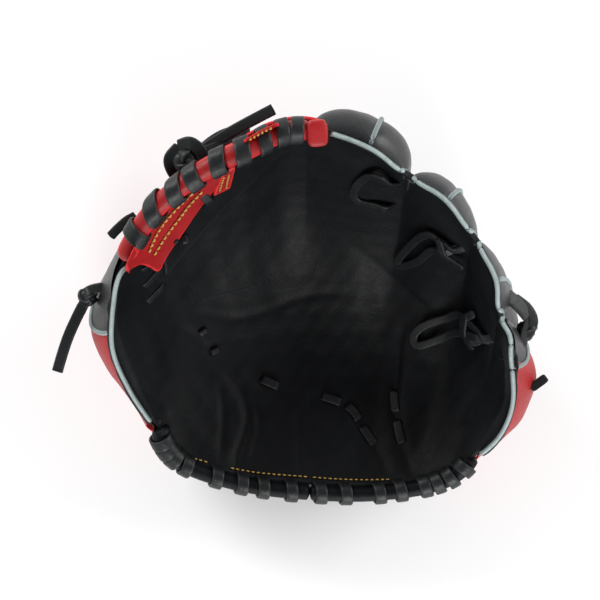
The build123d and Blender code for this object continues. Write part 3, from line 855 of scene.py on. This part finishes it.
# Red panel below the bar, with its two rows of gold stitches.
RED_EDGE = [
    (-0.875, 0.985), (-0.84, 0.935), (-0.80, 0.878), (-0.742, 0.782), (-0.702, 0.728),
    (-0.668, 0.758), (-0.635, 0.780), (-0.595, 0.802), (-0.547, 0.84), (-0.502, 0.873),
    (-0.448, 0.905), (-0.397, 0.935), (-0.34, 0.975),
]
s, share = np.meshgrid(
    np.linspace(RED_EDGE[0][0], RED_EDGE[-1][0], steps(90)), np.linspace(0, 1, steps(36))
)
edge = along(RED_EDGE, s[0])[:, 0]
t = edge + share * (0.995 - edge)
panel = layer(s, t, 3.2 + ripple(face(s, t), 0.25, 8.0), 1.9)
make("web_red_panel", panel, RED, swing_web, "web_bar_flap")


def stitches(stations, pitch, length, width, lift, thickness=0.7):
    """A row of stitches along (s, t) stations; each is a short raised bead."""
    s, t = line(stations, 200).T
    path = place(s, t, lift)
    gone = distance(path)
    parts = []
    for start in np.arange(pitch / 2, gone[-1] - length, pitch):
        at = np.linspace(start, start + length, 7)
        here = np.stack([np.interp(at, gone, path[:, i]) for i in range(3)], 1)
        out = directions(np.interp(at, gone, s), np.interp(at, gone, t))[2]
        arch = np.sin(np.linspace(0, pi, 7))[:, None] * 0.45 - 0.2
        parts.append(sweep(here + out * arch, out, strap_section(width, thickness, 0.7, 8), taper=2))
    return merge(parts)


upper_row = [(-0.768, 0.882), (-0.745, 0.905), (-0.715, 0.928), (-0.675, 0.944)]
upper_row += [(-0.633, 0.955), (-0.555, 0.974), (-0.48, 0.984)]
lower_row = [(-0.742, 0.832), (-0.705, 0.848), (-0.67, 0.866), (-0.63, 0.885)]
lower_row += [(-0.595, 0.903), (-0.547, 0.932), (-0.473, 0.957)]
rows = merge([stitches(row, 3.4, 2.5, 1.7, 3.8, 1.0) for row in (upper_row, lower_row)])
make("web_gold_stitches", rows, GOLD_ON_RED, swing_web)

# Short red strap that shows below the bar, and its stitches.
STRAP_FOOT = 0.893
s, t = grid(
    lambda t: -0.425 + 0.6 * (t - STRAP_FOOT),
    lambda t: -0.355 + 0.3 * (t - STRAP_FOOT),
    (STRAP_FOOT, 0.975),
    16,
    14,
)
make("web_red_strap", layer(s, t, 3.6, 1.8), RED, swing_web)
left_row = [(-0.407, 0.902), (-0.395, 0.93), (-0.38, 0.965)]
right_row = [(-0.374, 0.900), (-0.366, 0.93), (-0.356, 0.965)]
rows = merge([stitches(row, 2.6, 1.7, 1.0, 3.9) for row in (left_row, right_row)])
make("web_strap_stitches", rows, GOLD_ON_RED, swing_web)


# ---- Rolled top bar and its spiral lace ----
UPWARDS = np.array([0.0, 0.0, 1.0])
TURN = np.linspace(0, 2 * pi, 48, endpoint=False)


def roll_frame(centre_at, s, up):
    """Centre line of a roll, and two directions square to it, the first near up."""
    ahead = unit(centre_at(np.clip(s + 0.004, -1, 1)) - centre_at(np.clip(s - 0.004, -1, 1)))
    up = unit(up - ahead * (up * ahead).sum(1, keepdims=True))
    return centre_at(s), up, np.cross(ahead, up)


def wrap(frame_here, radius, section):
    """A turn of lace round a roll."""
    centre, up, side = frame_here
    out = np.cos(TURN)[:, None] * up + np.sin(TURN)[:, None] * side
    return sweep(centre + radius[:, None] * out, out, section)


def bar_centre(s):
    """Centre line of the rolled bar, a little beyond the web's edge."""
    return place(s, 1.0 + 0 * s, 0.0, beyond=4.2 - 4.6 * smooth_step(-0.45, -0.10, s))


BAR_START, BAR_SPLIT, BAR_END = -0.865, -0.37, -0.02
for half, low, high, follow, replaced in (
    ("thumb", BAR_START, BAR_SPLIT, swing_web, ["web_bar"]),
    ("index", BAR_SPLIT, BAR_END, swing_fingers, []),
):
    centre, up, _ = roll_frame(bar_centre, np.linspace(low, high, steps(70)), UPWARDS)
    bar = sweep(centre, up, round_section(BAR_RADIUS, 28), taper=4)
    make("web_bar_" + half + "_half", bar, RED, follow, *replaced)

# Each wrap's place along the bar, its lean and its width.
BAR_WRAPS = (
    (-0.784, -0.008, 8.0),
    (-0.688, -0.026, 8.0),
    (-0.584, -0.022, 8.0),
    (-0.503, -0.010, 8.0),
    (-0.386, -0.017, 8.0),
    (-0.281, -0.012, 8.0),
    (-0.190, -0.012, 6.8),
    (-0.114, -0.008, 6.8),
    (-0.062, -0.004, 6.8),
)
for half, chosen, follow, replaced in (
    ("thumb", range(0, 5), swing_web, ["web_bar_lace"]),
    ("index", range(5, 9), swing_fingers, []),
):
    parts = []
    for i in chosen:
        at, lean, width = BAR_WRAPS[i]
        here = roll_frame(bar_centre, at + lean * np.sin(TURN + 0.3), UPWARDS)
        radius = BAR_RADIUS + 1.1 + 0.25 * np.sin(3 * TURN + i)
        parts.append(wrap(here, radius, strap_section(width, 1.6)))
    make("web_bar_lace_" + half + "_half", merge(parts), LACE, follow, *replaced)


def soft_block(centre, x_axis, y_axis, size, bulge=0.35):
    """A small padded tab: a superellipsoid with rounded edges."""
    lat, lon = np.meshgrid(np.linspace(-pi / 2, pi / 2, 25), np.linspace(-pi, pi, 49)[:-1])
    power = lambda v: np.sign(v) * np.abs(v) ** bulge
    x = power(np.cos(lat)) * power(np.cos(lon)) * size[0] / 2
    y = power(np.cos(lat)) * power(np.sin(lon)) * size[1] / 2
    z = power(np.sin(lat)) * size[2] / 2
    x_axis, y_axis = (np.array(v, float) / np.linalg.norm(v) for v in (x_axis, y_axis))
    z_axis = np.cross(x_axis, y_axis)
    y_axis = np.cross(z_axis / np.linalg.norm(z_axis), x_axis)
    points = centre + x[..., None] * x_axis + y[..., None] * y_axis + z[..., None] * z_axis
    count, rows = points.shape[:2]
    faces = []
    for i in range(count):
        j = (i + 1) % count
        for k in range(rows - 1):
            faces.append([i * rows + k, j * rows + k, j * rows + k + 1, i * rows + k + 1])
    return points.reshape(-1, 3), faces, np.zeros(count * rows)


def bar_flap(span, reach, level):
    """A small flat piece that stands out beyond the web's edge."""
    s, share = np.meshgrid(np.linspace(*span, steps(30)), np.linspace(0, 1, steps(18)))
    out = reach[0] + (reach[1] - reach[0]) * share
    top = place(s, 1 + 0 * s, level + 0.6 * np.sin(pi * share), beyond=out)
    return shell(top, top - 1.9 * UPWARDS)


make("web_bar_foot_tab", bar_flap((-0.888, -0.832), (0.5, 15.0), 4.2), RED, swing_web)
make("web_bar_back_flap", bar_flap((-0.255, -0.125), (3.0, 12.5), -3.0), RED, swing_fingers)
parts = []
for reach in (8.6, 11.0):
    s = np.linspace(-0.245, -0.135, 60)
    path = place(s, 1 + 0 * s, -2.3, beyond=reach)
    for start in range(3, 56, 9):
        here = path[start : start + 6]
        ups = np.tile(UPWARDS, (len(here), 1))
        parts.append(sweep(here, ups, strap_section(1.1, 0.8, 0.7, 8), taper=2))
make("web_back_flap_stitches", merge(parts), GOLD_ON_RED, swing_fingers)

tab_middle = place(0.0, 1.0, 3.0) + np.array([0.3, 2.4, 2.0])
end_tab = soft_block(tab_middle, (1, 0.1, -0.1), (-0.25, 1, 0.35), (10.5, 13.5, 6), 0.5)
make("web_bar_end_tab", end_tab, RED, ride_fingers)

# ---- Piping ----
PIPE = round_section(PIPING_RADIUS, 12)


def pipe(name, path, ups, follow, *replaced):
    make(name, sweep(path, ups, PIPE, taper=2), PIPING, follow, *replaced)


for stall, (s_low, s_high) in {**FINGERS, "little": STALLS["little"]}.items():
    dive = [(s_low + 0.006, 0.94, -6.5), (s_low + 0.012, 0.985, -4.0), (s_low + 0.024, 1.0, -1.8)]
    rise = [(s_high - 0.024, 1.0, -1.8), (s_high - 0.012, 0.985, -4.0), (s_high - 0.006, 0.94, -6.5)]
    top = [(s_low + f * (s_high - s_low), 1.0, -0.9) for f in (0.2, 0.35, 0.5, 0.65, 0.8)]
    if stall == "index":
        dive = [(0.028, 0.97, -3.0), (0.035, 0.998, -1.0)]
        top = [(at, 1.0, -0.9) for at in (0.07, 0.10, 0.14, 0.18, 0.22)]
    if stall == "little":
        top = [(s_low + f * (s_high - s_low), 1.0, -0.9) for f in (0.25, 0.5, 0.75)]
        rise = [(0.985, 0.985, -1.2), (0.999, 0.94, -1.6)]
    s, t, w = line(dive + top + rise, steps(140)).T
    path = place(s, t, w, beyond=1.6 * smooth_step(0.9, 1.0, t))
    pipe(stall + "_piping", path, directions(s, t)[2], ride_fingers, stall + "_tip_welt")

t = np.linspace(0.955, 0.03, steps(140))
path = place(1.0 + 0 * t, t, -1.6, aside=1.3)
pipe("little_side_piping", path, directions(1.0, t)[2], ride_fingers, "little_welt")

thumb_line = [(-0.845, 0.935, 0.5), (-0.875, 0.975, 0.3), (-0.91, 0.995, -0.4)]
thumb_line += [(-0.955, 0.998, -1.2), (-0.99, 0.985, -1.6)]
s, t, w = line(thumb_line, steps(40)).T
t_side = np.linspace(0.96, 0.03, steps(140))
path = np.vstack([place(s, t, w), place(-1.0 + 0 * t_side, t_side, -1.6, aside=-1.3)])
ups = np.vstack([directions(s, t)[2], directions(-1.0, t_side)[2]])
pipe("thumb_piping", path, ups, ride_thumb, "thumb_welt")

down = np.radians(np.linspace(8, 89, steps(60)))
for finger in FINGERS:
    path = back_places(finger, 0.03 + 0 * down, down, lift=0.9)
    s, t, _ = finger_back(finger, 0.03, down)
    pipe(finger + "_back_piping", path, -directions(s, t)[2], ride_fingers, finger + "_back_welt")

# Across the thumb's and the little finger's backs, lifted off the leather.
for name, seam, inner, at, lean, follow in (
    ("thumb_cross_piping", -1, THUMB_INNER, 0.805, 0.0, ride_thumb),
    ("little_cross_piping", 1, LITTLE_INNER, 0.960, LITTLE_LEAN, ride_fingers),
):
    around, lift = half_turn(60), 0.6
    x = (1 + np.sin(around)) / 2
    s, t = seam + x * (inner - seam), at - lean * x
    depth = THUMB_THICKNESS * np.cos(around) * np.sqrt(1 + np.sin(around) ** 2) * side_tip(t)
    sideways = side_aside(seam, around, t) + seam * lift * (1 - np.sin(around)) / 2
    path = place(s, t, BACK_LEVEL - depth - lift, aside=sideways)
    pipe(name, path, -directions(s, t)[2], follow)


# ---- Rolled heel edge, its lace wraps and stitches ----
def heel_centre(s):
    return place(s, 0.0 * s, -1.6, beyond=-1.2)


def heel_frame(s):
    return roll_frame(heel_centre, s, directions(s, 0.0 * s)[2])


HEEL_WRAPS = {
    "thumb": (-0.90, -0.83, -0.76, -0.67, -0.49, -0.35, -0.24, -0.10),
    "little": (0.05, 0.18, 0.36, 0.48, 0.62, 0.70, 0.79, 0.90),
}
HEEL_STITCHES = {
    "thumb": ((-0.93, -0.86), (-0.66, -0.52), (-0.42, -0.01)),
    "little": ((0.0, 0.42), (0.86, 0.96)),
}
for half, low, high, follow, ends in (
    ("thumb", -0.985, 0.0, swing_thumb, ("thumb", "center")),
    ("little", 0.0, 0.985, swing_fingers, ("fingers",)),
):
    centre, up, _ = heel_frame(np.linspace(low, high, steps(120)))
    roll = sweep(centre, up, round_section(BINDING_RADIUS, 24), taper=2)
    make("heel_roll_" + half, roll, SHADED_BLACK, follow, *["heel_binding_" + end for end in ends])
    radius = BINDING_RADIUS + 1.0 + 0.9 * (np.cos(TURN) > 0.0) * np.cos(TURN) ** 2
    parts = [
        wrap(heel_frame(at + 0.016 * np.sin(TURN + 0.6)), radius, strap_section(6.2, 1.9))
        for at in HEEL_WRAPS[half]
    ]
    laces = ["heel_lace_" + end for end in ends]
    make("heel_lace_" + half + "_wraps", merge(parts), LACE, follow, *laces)
    rows = [[(s, 0.024) for s in np.linspace(*run, 8)] for run in HEEL_STITCHES[half]]
    rows = merge([stitches(row, 2.9, 1.8, 0.8, 1.0) for row in rows])
    make("heel_gold_stitches_" + half, rows, GOLD_ON_BLACK, follow)

# ---- Laces in the palm ----
OVER, UNDER = 1.25, -2.4


def running_stitch(stations, lengths, gap):
    """A lace that runs over and under the hide along (s, t) stations."""
    s, t = line(stations, 300).T
    gone = distance(face(s, t))
    parts, start = [], 0.0
    for length in lengths:
        if start + length > gone[-1]:
            break
        at, share = np.linspace(start, start + length, 26), np.linspace(0, 1, 26)
        s_here, t_here = np.interp(at, gone, s), np.interp(at, gone, t)
        arch = smooth_step(0, 0.2, share) * smooth_step(0, 0.2, 1 - share)
        base = front_height(s_here, t_here) - crease_depth(face(s_here, t_here))
        path = place(s_here, t_here, base + UNDER + (OVER - UNDER) * arch)
        ups = directions(s_here, t_here)[2]
        parts.append(sweep(path, ups, strap_section(4.6, 1.7), taper=2))
        start += length + gap
    return merge(parts)


across_palm = [(0.03, 0.208), (0.157, 0.193), (0.24, 0.147), (0.31, 0.108), (0.395, 0.055)]
up_crease = [(0.342, 0.275), (0.350, 0.24), (0.405, 0.155), (0.51, 0.062)]
parts = [
    running_stitch(across_palm, (14, 13, 15, 17, 14), 1.2),
    running_stitch(up_crease, (15, 17, 16, 12), 1.5),
]
make("palm_break_lace_strips", merge(parts), SHADED_POCKET_LACE, swing_fingers, "palm_break_lace")
parts = [
    running_stitch([(-0.24, 0.250), (-0.11, 0.212)], (13,), 2),
    running_stitch([(-0.515, 0.41), (-0.490, 0.370)], (3.5,), 2),
    running_stitch([(-0.460, 0.345), (-0.435, 0.300)], (3.5,), 2),
]
make("thumb_break_lace_strips", merge(parts), SHADED_POCKET_LACE, swing_thumb)

# ---- Laces that tie the fingertips together, seen as loops in the pocket ----
LOOPS = [
    [(0.262, 0.93, -7), (0.225, 0.955, 3.2), (0.19, 0.965, 5.2), (0.143, 0.93, 5.0), (0.112, 0.87, 4.6),
     (0.103, 0.815, 3.6), (0.125, 0.800, 3.4), (0.175, 0.825, 4.4), (0.225, 0.85, 4.2), (0.262, 0.86, -6)],
    [(0.522, 0.93, -7), (0.49, 0.90, 4.0), (0.433, 0.873, 5.4), (0.373, 0.843, 5.4), (0.313, 0.733, 4.2),
     (0.287, 0.672, 3.0), (0.305, 0.662, 3.0), (0.36, 0.718, 4.4), (0.403, 0.800, 5.6), (0.46, 0.865, 7.0),
     (0.515, 0.93, -5)],
    [(0.782, 0.84, -7), (0.74, 0.78, 4.0), (0.66, 0.72, 5.2), (0.57, 0.682, 5.2), (0.497, 0.595, 4.0),
     (0.407, 0.490, 3.0), (0.386, 0.440, 2.6), (0.415, 0.430, 2.6), (0.497, 0.512, 4.0), (0.573, 0.603, 5.4),
     (0.65, 0.68, 7.0), (0.72, 0.75, 5.0), (0.782, 0.80, -5)],
]
TAILS = [
    [(0.425, 0.885, 6.6), (0.455, 0.855, 7.4), (0.49, 0.865, 6.2), (0.545, 0.885, 4.4)],
    [(0.60, 0.73, 6.4), (0.615, 0.665, 7.6), (0.63, 0.635, 6.4), (0.66, 0.612, 4.4)],
    [(0.625, 0.76, 4.0), (0.60, 0.70, 6.8), (0.615, 0.655, 7.2), (0.66, 0.66, 6.0), (0.69, 0.70, 3.0)],
]
parts = [lace_on_face(stations, 120, 4.6, 1.9) for stations in LOOPS]
parts += [lace_on_face(stations, 50, 4.6, 1.9) for stations in TAILS]
make("finger_tip_laces", merge(parts), SHADED_POCKET_LACE, ride_fingers, "finger_lace")

# ---- Lacing along the web's two edges ----
parts = []
for t in (0.60, 0.69, 0.78, 0.87):
    run = ((-0.115, -6.5), (-0.10, -9.0), (-0.075, -9.6), (-0.05, -9.0), (-0.035, -6.0))
    parts.append(lace_on_face([(s, t, w) for s, w in run], 30, 5.0, 1.8))
make("web_index_lacing", merge(parts), LACE, swing_fingers, "web_index_lace")

parts = []
for t in (0.62, 0.70, 0.78):
    run = ((-0.775, -3), (-0.763, 0.6), (-0.72, 1.2), (-0.677, 0.6), (-0.665, -3))
    stations = [(s, t + 0.003 * k, w) for k, (s, w) in enumerate(run)]
    parts.append(lace_on_face(stations, 30, 4.2, 1.5))
parts = [
    merge(parts),
    soft_block(place(-0.575, 0.782, 3.0), (1, 0.4, 0), (-0.4, 1, 0), (4.6, 6.0, 4.2), 0.7),
    soft_block(place(-0.615, 0.800, 2.6), (1, 0.4, 0), (-0.4, 1, 0), (3.0, 4.2, 3.0), 0.7),
]
loop = [(-0.485, 0.925, 2.0), (-0.462, 0.895, 4.6), (-0.448, 0.870, 3.6), (-0.442, 0.855, 1.0)]
parts.append(lace_on_face(loop, 30, 4.6, 1.8))
make("web_thumb_lacing", merge(parts), SHADED_POCKET_LACE, swing_web, "web_thumb_lace")

# ---- Knots ----
THUMB_KNOT = np.array([-117.5, 7.6, 97.4]) - CENTRE
WEB_KNOT = np.array([-63.0, 76.1, 137.9]) - CENTRE
LITTLE_KNOT = np.array([116.2, -12.4, 95.4]) - CENTRE


def knot_loop(centre, size, turn, lean, width):
    """An overhand knot of flat lace, its lace facing away from its middle."""
    a = np.linspace(0, 2 * pi, 120, endpoint=False)
    x, y = np.sin(a) + 2 * np.sin(2 * a), np.cos(a) - 2 * np.cos(2 * a)
    path = np.stack([x, y, -1.25 * np.sin(3 * a)], 1) * (size / 3.2)
    c, k = np.cos(turn), np.sin(turn)
    spin = np.array([[c, -k, 0], [k, c, 0], [0, 0, 1]])
    c, k = np.cos(lean), np.sin(lean)
    tilt = np.array([[1, 0, 0], [0, c, -k], [0, k, c]])
    path = path @ spin.T @ tilt.T + centre
    return sweep(path, path - path.mean(0), strap_section(width, 2.2, 0.5))


def free_lace(points, width=5.4, ups=(0, 0, 1)):
    """A flat lace through points in space, as raw outline places."""
    path = line(points, 50) - CENTRE
    return sweep(path, np.tile(np.array(ups, float), (50, 1)), strap_section(width, 2.0), taper=2)


parts = [
    knot_loop(THUMB_KNOT, 4.6, 0.4, 0.6, 5.8),
    soft_block(THUMB_KNOT, (1, 0.3, 0), (-0.3, 1, 0), (9, 8, 7), 0.8),
    free_lace([(-117, 8.5, 98), (-118.7, 5.0, 97.6), (-120.3, 2.4, 97), (-122, -1.2, 96.4)], 5.8),
    free_lace(
        [(-99, 10.5, 101), (-104, 11.5, 101.5), (-110, 12, 101.5), (-115, 11, 100.5), (-119, 9, 98.5)]
    ),
]
make("thumb_lace_knot", merge(parts), LACE, ride_thumb, "thumb_knot")
parts = [
    knot_loop(WEB_KNOT, 5.0, 1.1, 0.4, 6.4),
    soft_block(WEB_KNOT - np.array([0.5, 0.0, 1.0]), (1, 0.5, 0), (-0.5, 1, 0), (13, 11, 9), 0.8),
    free_lace([(-90, 49, 119), (-95, 46, 120.5), (-99.5, 42, 120.5), (-103.3, 38, 120)], 5.0),
    knot_loop(WEB_KNOT + np.array([2.5, 0.5, -3.0]), 4.6, 2.4, -0.5, 6.4),
    free_lace([(-53, 75, 139), (-56, 81, 141), (-61, 84.5, 141), (-67, 83, 139)], 6.4),
    free_lace([(-66, 66, 131), (-70, 71, 136), (-71, 77, 138.5), (-66, 83, 139)], 6.4),
    free_lace([(-60, 74, 134), (-54, 82, 137), (-46, 88, 136), (-38, 91, 133), (-31, 91, 129)], 6.0),
    free_lace([(-57, 80, 140), (-50, 82, 138), (-42, 86, 136), (-35, 88.5, 132)], 5.0),
]
make("web_lace_knot", merge(parts), LACE, swing_web, "web_knot")
parts = [
    knot_loop(LITTLE_KNOT + np.array([-1.5, 2.5, 0]), 4.6, 0.2, 0.6, 5.8),
    soft_block(LITTLE_KNOT + np.array([-1.5, 1.5, 0]), (0.3, 1, 0), (-1, 0.3, 0), (11, 8, 7), 0.8),
    free_lace([(97, 12.5, 106), (103, 8.0, 105), (109.2, 2.9, 102.5), (115, -3.5, 100)], 7.5, (0.3, 0.3, 1)),
    free_lace([(107, 7.0, 101), (114.5, 1.0, 100), (117.5, -6, 99), (114.5, -14, 97.5)], ups=(0.3, 0, 1)),
    free_lace([(116, -3, 99), (113, -11, 99), (112, -19, 96), (110, -25, 92)], ups=(0.6, 0, 1)),
]
make("little_lace_knot", merge(parts), LACE, ride_fingers, "little_knot")


# ---- Free lace ends ----
def lace_end(name, knot, steps_out, replaced, follow):
    """A cord from a knot to its bare end, through places measured from the knot."""
    points = [knot + np.array(step) for step in steps_out]
    curve = bpy.data.curves.new(name, "CURVE")
    curve.dimensions = "3D"
    spline = curve.splines.new("NURBS")
    spline.points.add(len(points) - 1)
    for control, point in zip(spline.points, points):
        control.co = (*(point * MM), 1.0)
        control.tilt = pi / 2
    spline.order_u = 3
    spline.use_endpoint_u = True
    spline.resolution_u = 24
    curve.extrude = 1.9 * MM
    curve.bevel_depth = 1.1 * MM
    curve.bevel_resolution = 4
    curve.use_fill_caps = True
    material, slot = LACE
    curve.materials.append(material)
    piece = bpy.data.objects.new(name, curve)
    bpy.context.collection.objects.link(piece)
    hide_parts(replaced)
    follow(piece)


thumb_steps = (-3, -5.4, -0.5), (-8, -15, -1.5), (-13, -27, -3), (-17, -40, -6)
lace_end("thumb_lace_tail", THUMB_KNOT, thumb_steps, "thumb_lace_end", ride_thumb)
web_steps = (5, 3, 0), (17, 11, -1), (30, 18.5, -1.5), (44, 26, -3.5)
lace_end("web_lace_tail", WEB_KNOT, web_steps, "web_lace_end", ride_palm)

stub_middle = np.array([122.6, -39.0, 82.8]) - CENTRE
stub = soft_block(stub_middle, (0.8, 0.6, 0), (-0.6, 0.8, 0), (10.5, 4.8, 2.4), 0.35)
make("little_lace_stub_end", stub, LACE, ride_fingers, "little_lace_stub")

# ---- Floor, light and camera ----
stage_mesh = bpy.data.meshes.new("floor")
stage_mesh.from_pydata([(-4, -4, 0), (4, -4, 0), (4, 4, 0), (-4, 4, 0)], [], [(0, 1, 2, 3)])
floor = bpy.data.objects.new("floor", stage_mesh)
bpy.context.collection.objects.link(floor)
paper, _, _, shader = new_material("paper_floor")
shader.inputs["Base Color"].default_value = (0.985, 0.985, 0.985, 1)
shader.inputs["Roughness"].default_value = 0.9
stage_mesh.materials.append(paper)

world = bpy.data.worlds.new("studio")
bpy.context.scene.world = world
world.use_nodes = True
nodes, links = world.node_tree.nodes, world.node_tree.links
sky = nodes["Background"]
direction = nodes.new("ShaderNodeTexCoord")
height = nodes.new("ShaderNodeSeparateXYZ")
links.new(direction.outputs["Generated"], height.inputs[0])
glow = ramp(nodes, links, height.outputs["Z"], ((1.0, 1.0, 1.0), (0.10, 0.10, 0.105)), (0.35, 0.92))
links.new(glow, sky.inputs["Color"])
sky.inputs["Strength"].default_value = 1.06


def soft_light(name, where, size, power):
    """A disc of light, aimed at the middle of the glove."""
    data = bpy.data.lights.new(name, "AREA")
    data.shape = "DISK"
    data.size = size
    data.energy = power
    light = bpy.data.objects.new(name, data)
    light.location = where
    aim = Vector((0, 0, 0.06)) - Vector(where)
    light.rotation_euler = aim.to_track_quat("-Z", "Y").to_euler()
    bpy.context.collection.objects.link(light)


soft_light("key", (-1.0, 1.1, 0.9), 0.8, 17)
soft_light("fill", (1.3, 0.5, 0.8), 0.9, 13)
soft_light("low", (0.2, -1.4, 0.7), 0.8, 14)

FOCAL_RATIO = 1709 / 600  # focal length over the width of the view
camera_data = bpy.data.cameras.new("camera")
camera_data.sensor_width = 36.0
camera_data.lens = camera_data.sensor_width * FOCAL_RATIO
camera_data.clip_start = 0.05
camera = bpy.data.objects.new("camera", camera_data)
camera.location = EYE * MM
bpy.context.collection.objects.link(camera)
bpy.context.scene.camera = camera
bpy.context.scene.view_settings.view_transform = "Standard"
